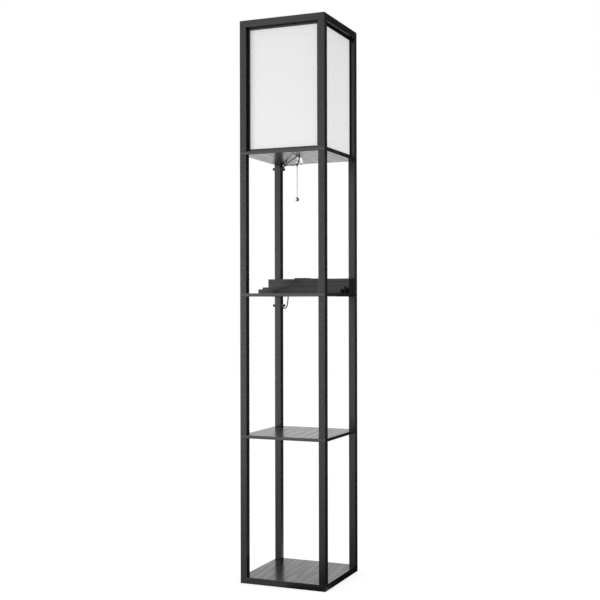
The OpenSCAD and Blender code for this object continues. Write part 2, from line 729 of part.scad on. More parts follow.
// The hank: three turns in two layers, spiralling in below and out above
fold_r = 3 * lead_d;
ring_count = 76;
turn_at = 38;
per_loop = 24;
function spread(k) = fold_r + hank_step * max(0, (abs(k - turn_at) - 2) / per_loop);
hank_c = hank_y + spread(0);
function ease(u) = u <= 0 ? 0 : u >= 1 ? 1 : u * u * (3 - 2 * u);
function layer_z(k) = hank_z + hank_rise * ease((k - turn_at + 2) / 4);
function waist(u) = (1 - cos(360 * u)) / 2;
function hank_point(k) = let (f = k % per_loop, r = spread(k), z = layer_z(k))
    f <= 4 ? let (u = f / 4)
        [hank_x + hank_run * u, hank_c - r + hank_waist * waist(u), z + tie_t * waist(u)]
    : f <= 12 ? let (a = (f - 4) * 22.5 - 90)
        [hank_x + hank_run + r * cos(a), hank_c + r * sin(a), z]
    : f <= 16 ? let (u = (f - 12) / 4)
        [hank_x + hank_run * (1 - u), hank_c + r - hank_waist * waist(u),
         z + tie_t * waist(u)]
    : let (a = (f - 16) * 22.5 + 90)
        [hank_x + r * cos(a), hank_c + r * sin(a), z];
hank_turns = [for (k = [0:ring_count]) hank_point(k)];
straight = [lead_d, 0, 0];
hank_line = concat([hank_turns[0] - straight], hank_turns, [hank_turns[ring_count] + straight]);
function finer(p) = [for (i = [0:len(p) - 2]) for (u = [0, 0.5]) p[i] + u * (p[i + 1] - p[i])];
hank_fine = finer(hank_line);
hank_gap = min([for (i = [0:len(hank_fine) - 1]) for (j = [i + 16:1:len(hank_fine) - 1])
    norm(hank_fine[i] - hank_fine[j])]) - lead_d;
echo(hank_least_gap = hank_gap);
function length_of(p) = [for (i = [1:len(p) - 1]) norm(p[i] - p[i - 1])];
function total(v, i = 0) = i < len(v) ? v[i] + total(v, i + 1) : 0;
echo(mains_length = total(length_of(mains_route)) + total(length_of(hank_line))
                    + total(length_of(tail_route)),
     link_length = total(length_of(link_route)));
module mains_hank() color(black_plastic) tube(hank_line, lead_d, 6);

// Tie round the hank's waist
tie_front = hank_c - spread(2) + hank_waist - lead_d / 2 - fit_gap;
tie_rear = hank_c + spread(14) - hank_waist + lead_d / 2 + fit_gap;
tie_top = hank_z + hank_rise + tie_t + lead_d / 2 + fit_gap;
module hank_tie() color(black_plastic)
    translate([hank_x + hank_run / 2 - tie_w / 2, 0, 0]) difference() {
        translate([0, tie_front - tie_t, 0.02])
            cube([tie_w, tie_rear - tie_front + 2 * tie_t, tie_top + tie_t]);
        translate([-1, tie_front, tie_t])
            cube([tie_w + 2, tie_rear - tie_front, tie_top - tie_t]);
    }

// Two-pin plug, lying on its broad side, with its strain relief moulded on
plug_y = half_w + 12;
plug_z = plug_h / 2 + 0.1;
plug_x = tail_route[5][0] + plug_relief_l;
plug_cut = 3;
blade_l = 16;
blade_w = 6.3;
blade_t = 1.5;
blade_root = 8;
lead_in_plug = 6;
module mains_plug() color(black_plastic) translate([plug_x, plug_y, plug_z]) difference() {
    union() {
        rotate([90, 0, 90]) linear_extrude(plug_l) polygon([
            for (c = [[-1, -1], [1, -1], [1, 1], [-1, 1]]) for (k = [0, 1])
                let (first = (c[0] * c[1] > 0) == (k == 0))
                [c[0] * (plug_w / 2 - (first ? 0 : plug_cut)),
                 c[1] * (plug_h / 2 - (first ? plug_cut : 0))]
        ]);
        translate([-plug_relief_l, 0, tail_route[5][2] - plug_z]) rotate([0, 90, 0])
            cylinder(d1 = relief_tip_d, d2 = relief_d + 1, h = plug_relief_l + 1);
    }
    translate([-plug_relief_l - 1, 0, tail_route[5][2] - plug_z]) rotate([0, 90, 0])
        cylinder(d = lead_d + 2 * lead_gap, h = plug_relief_l + lead_in_plug + 1);
    for (y = [-1, 1]) translate([plug_l - blade_root, y * blade_gap / 2, 0])
        rotate([0, 90, 0]) box(blade_w, blade_t, 0, blade_root + 1);
}

module plug_blades() color(steel) translate([plug_x + plug_l, plug_y, plug_z])
    for (y = [-1, 1]) translate([-blade_root, y * blade_gap / 2, 0])
        rotate([0, 90, 0]) box(blade_w, blade_t, 0, blade_root + blade_l);

base_board();
lower_shelf();
middle_shelf();
upper_shelf();
for (t = [0:3]) for (c = [0:3])
    post(t, c);
top_rails();
for (s = [0:3]) shade_frame(s);
for (s = [0:3]) shade_panel(s);
base_bolts();
shelf_studs();
frame_dowels();
holder_body();
socket_shell();
holder_nipple();
centre_contact();
bulb_cap();
bulb_globe();
switch_bell();
switch_body();
pull_stem();
chain_eye();
pull_chain();
dock_walls();
dock_lid();
lip(lip_front_y, lip_front_t, lip_front_h);  // lip_front
lip(lip_rear_y, lip_rear_t, lip_rear_h);  // lip_rear
module_box();
outlet_face();
usb_face();
converter_board();
cord_clips();
link_lead();
lead_reliefs();
mains_lead();
mains_hank();
mains_tail();
hank_tie();
mains_plug();
plug_blades();
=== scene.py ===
# %% [markdown]
# # A shelf column lamp, dressed piece by piece
# The real object is a square floor lamp: black ash-grain posts and boards, a light box of
# white linen panels, a charging dock on one shelf and a pull chain under another. The solid
# model is loaded first as a fixed frame, in metres: the origin is the middle of the base's
# underside, +Z is up and -Y is the front. Every piece below stands where a solid stands.

# %% Load the frame
import math
import bpy
from mathutils import Matrix, Vector


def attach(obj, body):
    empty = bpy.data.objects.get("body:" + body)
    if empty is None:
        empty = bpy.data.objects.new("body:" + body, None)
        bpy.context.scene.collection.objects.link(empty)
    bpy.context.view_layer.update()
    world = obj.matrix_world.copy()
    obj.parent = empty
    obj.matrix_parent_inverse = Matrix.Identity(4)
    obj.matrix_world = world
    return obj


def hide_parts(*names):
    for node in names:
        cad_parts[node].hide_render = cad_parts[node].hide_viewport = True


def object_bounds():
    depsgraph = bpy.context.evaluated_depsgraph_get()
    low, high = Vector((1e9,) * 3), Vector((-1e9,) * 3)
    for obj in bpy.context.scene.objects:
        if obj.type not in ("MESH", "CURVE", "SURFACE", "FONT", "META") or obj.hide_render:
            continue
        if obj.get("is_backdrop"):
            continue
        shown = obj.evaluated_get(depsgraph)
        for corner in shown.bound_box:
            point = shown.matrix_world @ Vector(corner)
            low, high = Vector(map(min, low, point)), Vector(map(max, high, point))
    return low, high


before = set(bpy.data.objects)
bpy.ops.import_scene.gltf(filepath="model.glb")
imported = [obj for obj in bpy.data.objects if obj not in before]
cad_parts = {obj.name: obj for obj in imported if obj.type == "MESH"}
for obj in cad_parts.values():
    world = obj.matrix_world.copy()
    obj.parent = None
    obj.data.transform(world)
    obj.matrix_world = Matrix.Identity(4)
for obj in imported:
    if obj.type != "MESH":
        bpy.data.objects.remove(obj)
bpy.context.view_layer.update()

# %% [markdown]
# ## The view
# The camera could be placed by eye, but the corners of the boards give it exactly: they fix
# where the lens stood, how far it was turned and how long it was. It stands at half the
# lamp's height, three metres off, so the lower boards show their tops and the upper ones
# their undersides.

# %% Camera
MM = 0.001


def deselect():
    for thing in list(bpy.context.selected_objects):
        thing.select_set(False)


def view_from(place, yaw, pitch, roll, lens):
    """A camera turned left from +Y by yaw, then up by pitch, then tilted by roll, in degrees."""
    yaw, pitch, roll = (math.radians(a) for a in (yaw, pitch, roll))
    forward = Vector((-math.sin(yaw) * math.cos(pitch), math.cos(yaw) * math.cos(pitch),
                      math.sin(pitch)))
    level = Vector((math.cos(yaw), math.sin(yaw), 0))
    side = level * math.cos(roll) + level.cross(forward) * math.sin(roll)
    deselect()
    bpy.ops.object.camera_add(location=[v * MM for v in place])
    camera = bpy.context.object
    camera.name = "view"
    axes = Matrix((side, side.cross(forward), -forward)).transposed()
    camera.rotation_euler = axes.to_euler()
    camera.data.sensor_fit = 'HORIZONTAL'
    camera.data.sensor_width = 36
    camera.data.lens = lens
    camera.data.clip_end = 100
    return camera


bpy.context.scene.camera = view_from((1241, -2936, 794), 22.907, 0.2, -0.11, 65.71)
print("camera", bpy.context.scene.camera.data.lens, "mm")

# %% [markdown]
# ## Tubes for the leads
# A lead is one smooth round sheath. It could be a bevelled curve; a mesh tube drawn through
# the route's points shows its exact place and takes the same finishes as the other pieces.
# Each span between two points is rounded by a curve through its neighbours, and a ring of
# vertices is carried along without twisting.

# %% Smooth lines and tubes
LONG_SPAN = 0.03


def rounded(points, steps=3):
    """A smooth line through the points, spaced by the root of each chord so it never loops."""
    ends = [points[0] * 2 - points[1]] + points + [points[-1] * 2 - points[-2]]
    line = []
    for i in range(1, len(ends) - 2):
        p = ends[i - 1:i + 3]
        t = [0.0]
        for a, b in zip(p, p[1:]):
            t.append(t[-1] + max((b - a).length, 1e-6) ** 0.5)
        parts = steps if (p[2] - p[1]).length < LONG_SPAN else steps + 1
        for k in range(parts):
            u = t[1] + (t[2] - t[1]) * k / parts
            a = [(p[j] * (t[j + 1] - u) + p[j + 1] * (u - t[j])) / (t[j + 1] - t[j])
                 for j in range(3)]
            b = [(a[j] * (t[j + 2] - u) + a[j + 1] * (u - t[j])) / (t[j + 2] - t[j])
                 for j in range(2)]
            line.append((b[0] * (t[2] - u) + b[1] * (u - t[1])) / (t[2] - t[1]))
    return line + [points[-1]]


def tube(name, line, diameter, sides=12):
    """A round tube along the line, closed at both ends."""
    tangents = [(line[min(i + 1, len(line) - 1)] - line[max(i - 1, 0)]).normalized()
                for i in range(len(line))]
    across = tangents[0].orthogonal().normalized()
    corners, faces = [], []
    for point, along in zip(line, tangents):
        across = (across - along * across.dot(along)).normalized()
        other = along.cross(across)
        for k in range(sides):
            a = 2 * math.pi * k / sides
            corners.append(point + (across * math.cos(a) + other * math.sin(a)) * diameter / 2)
    for i in range(len(line) - 1):
        for k in range(sides):
            a, b = i * sides + k, i * sides + (k + 1) % sides
            faces.append((a, b, b + sides, a + sides))
    faces += [tuple(range(sides))[::-1], tuple(len(corners) - sides + k for k in range(sides))]
    mesh = bpy.data.meshes.new(name)
    mesh.from_pydata(corners, [], faces)
    piece = bpy.data.objects.new(name, mesh)
    bpy.context.scene.collection.objects.link(piece)
    mesh.shade_smooth()
    return piece


def metres(rows):
    return [Vector([value * MM for value in row]) for row in rows]


# %% [markdown]
# ## Where the two leads run
# The link lead feeds the charging module: it leaves the lamp holder, drops through a hole in
# the shelf, swings out to the rear left post, goes down behind it under two clips and comes
# back up through the middle shelf. The mains lead leaves by the next hole, goes down behind
# the same post to the floor, and its spare length lies there folded in a hank.

# %% Routes
LEAD = 3.4
link_points = metres([
    (4, -10, 1250), (8, -20, 1250), (14, -35, 1250), (17, -42, 1248), (19, -48, 1242),
    (20, -50, 1234), (20.5, -51, 1226), (20.5, -51, 1218.5), (19.5, -49, 1211.5),
    (17.5, -46, 1205), (13.5, -42, 1200), (9, -37.5, 1197), (3.5, -32.5, 1196),
    (-2, -27.5, 1196), (-7, -22, 1196), (-15.5, -10, 1197), (-24, 2, 1199),
    (-41.5, 26, 1203), (-58.5, 50.5, 1206.5), (-73.5, 76, 1209.5), (-84.5, 95.5, 1212),
    (-90.5, 109, 1213.5), (-93.5, 116, 1214.5), (-97, 123, 1215.5), (-101.5, 129, 1216),
    (-107, 134, 1216), (-113, 137, 1213), (-118.5, 137, 1208), (-122, 136.5, 1201.5),
    (-124, 135, 1194.5), (-124, 134, 1187), (-124, 132.5, 1172), (-124, 132, 1150),
    (-124, 132, 822), (-124, 133, 811), (-124, 134.5, 803), (-122.5, 136, 796),
    (-119.5, 137, 789.5), (-114.5, 136, 784), (-109, 133, 781), (-103, 128, 780.5),
    (-98.5, 123, 782), (-94, 117, 784), (-90, 111, 786), (-86.5, 105, 788),
    (-83.5, 99.5, 791), (-80.5, 94.5, 795.5), (-78, 90.5, 801), (-76, 88, 807.5),
    (-74.5, 86.5, 814.5), (-74, 86, 822), (-74, 86, 834), (-72, 86, 842), (-66, 86, 848),
    (-58, 86, 850), (-40, 86, 850)])
mains_points = metres([
    (8, -6, 1250), (16, -12, 1250), (32, -24, 1250), (36, -30.5, 1249.5), (38, -37, 1248),
    (39, -44, 1245.5), (38, -50.5, 1242), (35, -55.5, 1237.5), (31, -59, 1232),
    (26.5, -60.5, 1226.5), (21.5, -60.5, 1221), (16, -59, 1216), (10, -55.5, 1213),
    (4, -51.5, 1211), (-1, -46.5, 1210), (-8, -38, 1209.5), (-24, -14, 1210),
    (-54, 36, 1210), (-73.5, 67.5, 1211.5), (-85, 86.5, 1212.5), (-93, 99, 1213.5),
    (-99, 112.5, 1215.5), (-102, 119.5, 1215.5), (-105, 126, 1214.5), (-108.5, 131.5, 1212),
    (-112, 135, 1206.5), (-114.5, 135.5, 1199.5), (-116, 134.5, 1192), (-116, 133, 1185),
    (-116, 132, 1177.5), (-116, 132, 900), (-116, 132, 500), (-116, 132, 22),
    (-115.5, 132, 15.5), (-113, 132, 9), (-108.5, 132, 4.5), (-102, 132, 2)])

# The hank starts at its left end, and its runs are 60 mm long. The first fold has a radius of
# three leads, and each turn is a step wider; half way the lead rises to the upper layer. The
# tie draws the runs in at the waist and lifts them by its own thickness.
HANK_X, HANK_Y, HANK_Z, RUN = -90, 132, 1.8, 60
FOLD, STEP, RISE, WAIST, BAND = 3 * LEAD, 4, 3.85, 4, 0.6
TURN, HALF_WAY = 24, 38
hank_middle = HANK_Y + FOLD + STEP * 1.5


def hank_point(k):
    """Point k of the hank; half a turn is 4 points along a run and 8 round a fold."""
    f, r = k % TURN, FOLD + STEP * max(0, (abs(k - HALF_WAY) - 2) / TURN)
    u = min(1, max(0, (k - HALF_WAY + 2) / 4))
    z = HANK_Z + RISE * u * u * (3 - 2 * u)
    if f <= 4 or 12 < f <= 16:
        side, v = (-1, f / 4) if f <= 4 else (1, (f - 12) / 4)
        draw = (1 - math.cos(2 * math.pi * v)) / 2
        x = HANK_X + RUN * (v if side < 0 else 1 - v)
        return (x, hank_middle + side * (r - WAIST * draw), z + BAND * draw)
    a = math.radians((f - 4) * 22.5 - 90 if f <= 12 else (f - 16) * 22.5 + 90)
    return (HANK_X + (RUN if f <= 12 else 0) + r * math.cos(a), hank_middle + r * math.sin(a), z)


PLUG_Y, PLUG_Z = 142, 5.5
hank_points = metres([(HANK_X - LEAD, HANK_Y, HANK_Z)]
                     + [hank_point(k) for k in range(2 * HALF_WAY + 1)]
                     + [(HANK_X + RUN + LEAD, HANK_Y, HANK_Z + RISE)])
tail_points = metres([(-18, 132.5, PLUG_Z), (-8, 135, PLUG_Z), (2, 139, PLUG_Z),
                      (12, 141.5, PLUG_Z), (20, PLUG_Y, PLUG_Z), (46, PLUG_Y, PLUG_Z)])

mains_line = rounded(mains_points) + rounded(hank_points)[1:] + rounded(tail_points)
mains_cord = tube("mains_cord", mains_line, LEAD * MM)
link_cord = tube("link_cord", rounded(link_points), LEAD * MM)
print("lead meshes", len(mains_cord.data.polygons), len(link_cord.data.polygons))

# %% [markdown]
# ## Building finishes from nodes
# Each finish is a tree of shader nodes. They could be wired by hand in the editor; here a
# small helper adds one node with its settings and inputs, so a finish reads as a short list.
# A pattern that several finishes share is a node group: it gives only tones and heights, and
# each material decides what to do with them.

# %% Node helpers
def add(tree, kind, inputs=(), **settings):
    """One shader node; an input is a plain value or another node's socket."""
    node = tree.nodes.new(kind)
    for key, value in settings.items():
        setattr(node, key, value)
    for key, value in dict(inputs).items():
        if isinstance(value, bpy.types.NodeSocket):
            tree.links.new(value, node.inputs[key])
        else:
            node.inputs[key].default_value = value
    return node


def math_node(tree, operation, *values):
    return add(tree, 'ShaderNodeMath', enumerate(values), operation=operation).outputs[0]


def pattern_group(name, inputs, outputs):
    """An empty node group with named sockets, its input node and its output node."""
    group = bpy.data.node_groups.new(name, 'ShaderNodeTree')
    for label, kind, value in inputs:
        socket = group.interface.new_socket(name=label, in_out='INPUT', socket_type=kind)
        if value is not None:
            socket.default_value = value
    for label in outputs:
        group.interface.new_socket(name=label, in_out='OUTPUT', socket_type='NodeSocketFloat')
    return group, add(group, 'NodeGroupInput'), add(group, 'NodeGroupOutput')


def new_finish(name, turn=(0, 0, 0), **plain):
    """A material with one shader, its plain values set, and the place on the lamp to read."""
    finish = bpy.data.materials.new(name)
    finish.use_nodes = True
    tree = finish.node_tree
    shader = tree.nodes["Principled BSDF"]
    for key, value in plain.items():
        shader.inputs[key.replace("_", " ")].default_value = value
    place = add(tree, 'ShaderNodeTexCoord').outputs["Object"]
    if any(turn):
        place = add(tree, 'ShaderNodeMapping', {"Vector": place, "Rotation": turn}).outputs[0]
    return finish, tree, shader, place


def noise(tree, place, scale, detail=2.0, stretch=(1, 1, 1)):
    if stretch != (1, 1, 1):
        place = add(tree, 'ShaderNodeVectorMath', {0: place, 1: stretch},
                    operation='MULTIPLY').outputs[0]
    return add(tree, 'ShaderNodeTexNoise',
               {"Vector": place, "Scale": scale, "Detail": detail}).outputs[0]


def between(tree, factor, low, high):
    """A colour between two, by a factor from 0 to 1; a Mix node's colours are inputs 6 and 7."""
    node = add(tree, 'ShaderNodeMix', {0: factor}, data_type='RGBA')
    node.inputs[6].default_value = (*low, 1)
    node.inputs[7].default_value = (*high, 1)
    return node.outputs[2]


def spread(tree, value, low, high, to_low=0.0, to_high=1.0):
    return add(tree, 'ShaderNodeMapRange', {"Value": value, "From Min": low, "From Max": high,
                                            "To Min": to_low, "To Max": to_high}).outputs[0]


def bump(tree, shader, height, strength, depth_mm):
    node = add(tree, 'ShaderNodeBump', {"Height": height, "Strength": strength,
                                        "Distance": depth_mm * MM})
    tree.links.new(node.outputs[0], shader.inputs["Normal"])


print("node helpers ready")

# %% [markdown]
# ## Black ash foil
# The boards and posts are chipboard wrapped in a black foil with an ash grain pressed in it:
# dark pores in long dashes, and paler streaks between them. The grain could be one stretched
# noise, but at arm's length it has three sizes, so the group adds a broad figure, streaks
# and fine pores. It runs along Z; a material turns it to lie along a rail or a board. The
# boards have a thin varnish too, glossier along the paler streaks, so that their grain still
# shows where they are seen at a low angle.

# %% Ash grain
def ash_group():
    group, given, result = pattern_group(
        "ash grain", [("Place", 'NodeSocketVector', None), ("Figure", 'NodeSocketFloat', 0.5)],
        ["Tone", "Pores"])
    place = given.outputs["Place"]
    long_way = add(group, 'ShaderNodeVectorMath', {0: place, 1: (1, 1, 0.07)},
                   operation='MULTIPLY').outputs[0]
    figure = add(group, 'ShaderNodeTexWave',
                 {"Vector": long_way, "Scale": 25, "Distortion": 8, "Detail": 3,
                  "Detail Scale": 1.3}, bands_direction='DIAGONAL').outputs[1]
    wide = noise(group, place, 170, 3, (1, 1, 0.035))
    fine = noise(group, place, 620, 3, (1, 1, 0.03))
    streaks = math_node(group, 'ADD', math_node(group, 'MULTIPLY', wide, 0.6),
                        math_node(group, 'MULTIPLY', fine, 0.4))
    tone = math_node(group, 'MULTIPLY_ADD', math_node(group, 'SUBTRACT', figure, 0.5),
                     math_node(group, 'MULTIPLY', given.outputs["Figure"], 0.35), streaks)
    pores = spread(group, noise(group, place, 1500, 1, (1, 1, 0.045)), 0.58, 0.7)
    group.links.new(spread(group, tone, 0.3, 0.7), result.inputs["Tone"])
    group.links.new(pores, result.inputs["Pores"])
    return group


ash_grain = ash_group()


def ash(name, turn, dark=0.004, light=0.015, rough=0.24, figure=0.5, press=1, index=1.6,
        varnish=0):
    """Ash foil in greys from dark to light; press is how deep the grain is pressed in."""
    finish, tree, shader, place = new_finish(name, turn, IOR=index, Coat_Roughness=rough)
    grain = add(tree, 'ShaderNodeGroup', node_tree=ash_grain)
    tree.links.new(place, grain.inputs["Place"])
    grain.inputs["Figure"].default_value = figure
    tone, pores = grain.outputs["Tone"], grain.outputs["Pores"]
    colour = between(tree, tone, (dark, dark, dark * 1.03), (light, light, light * 1.02))
    dim = spread(tree, pores, 0, 1, 1, 0.55)
    shade = add(tree, 'ShaderNodeVectorMath', {0: colour}, operation='SCALE')
    tree.links.new(dim, shade.inputs["Scale"])
    tree.links.new(shade.outputs[0], shader.inputs["Base Color"])
    tree.links.new(math_node(tree, 'MULTIPLY_ADD', pores, 0.15 * press,
                             spread(tree, tone, 0, 1, rough + 0.05 * press, rough - 0.04 * press)),
                   shader.inputs["Roughness"])
    bump(tree, shader, math_node(tree, 'SUBTRACT', math_node(tree, 'MULTIPLY', tone, 0.4), pores),
         0.3, 0.15 * press)
    if varnish:
        tree.links.new(spread(tree, tone, 0.3, 0.7, 0, varnish), shader.inputs["Coat Weight"])
    return finish


QUARTER = math.pi / 2
ash_up = ash("ash_up", (0, 0, 0))
ash_along = ash("ash_along", (0, -QUARTER, 0), light=0.02, figure=0.9, press=0.75)
ash_deep = ash("ash_deep", (QUARTER, 0, 0), rough=0.245, figure=0.75, press=0.3, index=1.39,
               varnish=0.24)
ash_edge = ash("ash_edge", (0, -QUARTER, 0), dark=0.035, light=0.075)
ash_calm = ash("ash_calm", (0, -QUARTER, 0), dark=0.007, light=0.01, figure=0.2, press=0.35)
print("ash finishes", len([m for m in bpy.data.materials if m.name.startswith("ash")]))

# %% [markdown]
# ## Linen
# The shade's panels are white linen bonded to a clear sheet. Under the eye there is a plain
# weave with an uneven thread, thick in places and thin in others. A weave could be modelled
# thread by thread, but at 0.7 mm a thread it belongs in the finish. Height above the floor and
# the distance round the lamp give the same weave on all four sides. The finish also has a
# painted glow, strongest near the foot. No bulb inside is lit, so this is painted light that
# lifts the panels and the shade along their frames.

# %% Linen weave
def linen_group():
    group, given, result = pattern_group(
        "linen weave", [("Place", 'NodeSocketVector', None), ("Thread", 'NodeSocketFloat', 0.7)],
        ["Weave", "Slub"])
    apart = add(group, 'ShaderNodeSeparateXYZ', {0: given.outputs["Place"]}).outputs
    round_way = math_node(group, 'ADD', apart[0], apart[1])
    turns = math_node(group, 'DIVIDE', math.pi / MM, given.outputs["Thread"])  # thread in mm
    over = math_node(group, 'SINE', math_node(group, 'MULTIPLY', round_way, turns))
    under = math_node(group, 'SINE', math_node(group, 'MULTIPLY', apart[2], turns))
    weave = spread(group, math_node(group, 'MULTIPLY', over, under), -1, 1)
    flat = add(group, 'ShaderNodeCombineXYZ', {0: round_way, 1: apart[2]}).outputs[0]
    weft = noise(group, flat, 900, 2, (0.05, 1, 1))
    warp = noise(group, flat, 900, 2, (1, 0.05, 1))
    slub = spread(group, math_node(group, 'MAXIMUM', weft, warp), 0.5, 0.78)
    group.links.new(weave, result.inputs["Weave"])
    group.links.new(slub, result.inputs["Slub"])
    return group


# Emission Strength gives the panels a painted glow; no lamp inside them is lit.
linen, tree, shader, place = new_finish("linen", Roughness=0.85, IOR=1.45, Sheen_Weight=0.15,
                                        Emission_Strength=0.27)
weave = add(tree, 'ShaderNodeGroup', node_tree=linen_group())
tree.links.new(place, weave.inputs["Place"])
tree.links.new(between(tree, math_node(tree, 'MULTIPLY_ADD', weave.outputs["Slub"], 0.6,
                                       math_node(tree, 'MULTIPLY', weave.outputs["Weave"], 0.4)),
                       (0.95, 0.955, 0.965), (0.79, 0.795, 0.805)), shader.inputs["Base Color"])
bump(tree, shader, math_node(tree, 'ADD', weave.outputs["Slub"], weave.outputs["Weave"]), 0.7, 0.2)
# The painted glow is whiter at the foot and fades towards the top.
SHADE_FOOT, SHADE_TOP = 1.227, 1.58
height = add(tree, 'ShaderNodeSeparateXYZ', {0: place}).outputs[2]
tree.links.new(between(tree, spread(tree, height, SHADE_FOOT, SHADE_TOP),
                       (0.98, 0.985, 1), (0.78, 0.785, 0.8)), shader.inputs["Emission Color"])
print("linen finish ready")

# %% [markdown]
# ## Plastics, metals and the rest
# Moulded plastic has a fine spark-eroded texture and never an even gloss: a fine noise goes
# into its bump, and a broad one into its tone and roughness. Plated metal shows faint smears
# from handling, and zinc has drawn lines: one noise, stretched for the zinc, changes both
# tone and roughness. Raw beech and the bulb's opal glass are made in the same way.

# %% Small finishes
def plastic(name, colour, rough, scale=2600, relief=0.05):
    finish, tree, shader, place = new_finish(name, IOR=1.48)
    grain = noise(tree, place, scale, 2)
    cloud = noise(tree, place, 40, 2)
    tree.links.new(between(tree, cloud, [c * 0.85 for c in colour], [c * 1.15 for c in colour]),
                   shader.inputs["Base Color"])
    tree.links.new(spread(tree, cloud, 0.3, 0.7, rough - 0.05, rough + 0.06),
                   shader.inputs["Roughness"])
    bump(tree, shader, grain, 0.4, relief)
    return finish


def metal(name, colour, rough, stretch=(1, 1, 1), scale=60, vary=0.05):
    finish, tree, shader, place = new_finish(name, Metallic=1.0)
    smear = noise(tree, place, scale, 3, stretch)
    tree.links.new(between(tree, smear, [c * 0.93 for c in colour], colour),
                   shader.inputs["Base Color"])
    tree.links.new(spread(tree, smear, 0.3, 0.7, rough - vary, rough + vary),
                   shader.inputs["Roughness"])
    return finish


black_plastic = plastic("black_plastic", (0.018, 0.018, 0.019), 0.42)
grey_plastic = plastic("grey_plastic", (0.12, 0.12, 0.126), 0.45)
white_paint = plastic("white_paint", (0.84, 0.84, 0.82), 0.12, 700, 0.02)
green_board = plastic("green_board", (0.03, 0.14, 0.06), 0.3, 900, 0.1)
sheath = plastic("sheath", (0.005, 0.005, 0.0055), 0.5, 1800, 0.03)
nickel = metal("nickel", (0.78, 0.76, 0.73), 0.16)
bead_nickel = metal("bead_nickel", (0.93, 0.92, 0.9), 0.6)
zinc = metal("zinc", (0.6, 0.61, 0.63), 0.34, (1, 1, 0.04), 900, 0.08)
brass = metal("brass", (0.78, 0.58, 0.27), 0.28)

beech, tree, shader, place = new_finish("beech", IOR=1.45)
rays = noise(tree, place, 500, 3, (1, 1, 0.06))
tree.links.new(between(tree, rays, (0.42, 0.27, 0.14), (0.62, 0.44, 0.27)),
               shader.inputs["Base Color"])
tree.links.new(spread(tree, rays, 0.3, 0.7, 0.55, 0.7), shader.inputs["Roughness"])

opal, tree, shader, place = new_finish("opal", IOR=1.5, Transmission_Weight=0.15)
milk = noise(tree, place, 30, 2)
tree.links.new(between(tree, milk, (0.9, 0.9, 0.88), (0.94, 0.94, 0.93)),
               shader.inputs["Base Color"])
tree.links.new(spread(tree, milk, 0.3, 0.7, 0.12, 0.2), shader.inputs["Roughness"])
print("finishes", len(bpy.data.materials))

# %% [markdown]
# ## Blocks with eased edges
# Nearly every part of the column is a sawn and wrapped piece with straight edges. No real
# edge is sharp: the foil turns over it in about half a millimetre, and that line of light
# draws each joint. So a block starts as a cube at its size and place, and its edges get a
# small bevel. Weighted normals then keep the wide faces flat to the eye.

# %% Blocks
def hold(piece):
    deselect()
    piece.select_set(True)
    bpy.context.view_layer.objects.active = piece


def shaped(piece):
    """Opens the piece in edit mode with everything selected."""
    hold(piece)
    bpy.ops.object.mode_set(mode='EDIT')
    bpy.ops.mesh.select_all(action='SELECT')


def back():
    bpy.ops.object.mode_set(mode='OBJECT')


def place_in_mesh(piece):
    hold(piece)
    bpy.ops.object.transform_apply(location=True, rotation=True, scale=True)


def apply(piece, kind, **settings):
    hold(piece)
    bpy.ops.object.modifier_add(type=kind)
    modifier = piece.modifiers[-1]
    for key, value in settings.items():
        setattr(modifier, key, value)
    bpy.ops.object.modifier_apply(modifier=modifier.name)


def crisp(piece, angle=50):
    """Smooth across eased edges, flat across wide faces."""
    hold(piece)
    bpy.ops.object.shade_smooth_by_angle(angle=math.radians(angle))
    apply(piece, 'WEIGHTED_NORMAL', mode='FACE_AREA', weight=80, keep_sharp=True)
    return piece


def block(name, low, high, edge=0.6, segments=2):
    """A cuboid between two corners in millimetres, with its edges eased."""
    deselect()
    bpy.ops.mesh.primitive_cube_add(size=1, location=[(a + b) / 2 * MM for a, b in zip(low, high)])
    piece = bpy.context.object
    piece.name = piece.data.name = name
    piece.scale = [(b - a) * MM for a, b in zip(low, high)]
    place_in_mesh(piece)
    if edge:
        shaped(piece)
        bpy.ops.mesh.bevel(offset=edge * MM, segments=segments, affect='EDGES')
        back()
    return piece


def joined(name, *parts):
    deselect()
    for part in parts:
        part.select_set(True)
    bpy.context.view_layer.objects.active = parts[0]
    bpy.ops.object.join()
    parts[0].name = parts[0].data.name = name
    return parts[0]


def another(piece, name, shift=(0, 0, 0), turn=0):
    """A copy with its own mesh, turned about the lamp's upright axis and then moved."""
    copy = piece.copy()
    copy.data = piece.data.copy()
    copy.name = copy.data.name = name
    bpy.context.scene.collection.objects.link(copy)
    copy.data.transform(Matrix.Translation([v * MM for v in shift])
                        @ Matrix.Rotation(math.radians(turn), 4, 'Z'))
    return copy


def fitted(piece, finish, slot, *nodes, body="column"):
    """Gives a finished piece its material and its body, and hides the solids it stands for."""
    if finish is not None:
        piece.data.materials.clear()
        piece.data.materials.append(finish)
    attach(piece, body)
    if nodes:
        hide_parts(*nodes)
    return piece


print("block helpers ready")

# %% [markdown]
# ## Posts
# Sixteen posts carry the boards, four in each tier, all 20 mm square. The three lower tiers
# share one length and the shade's tier is shorter. One of each is modelled, with its grain
# upright, and the rest are copies set down at the other corners. The lengths stacked up give
# the undersides of the three shelves, which the later cells use too.

# %% Posts
OUTER, CENTRE, INNER = 130, 120, 110
HALF_POST = CENTRE - INNER
BASE, BOARD, LONG, SHORT = 18, 9, 394, 353
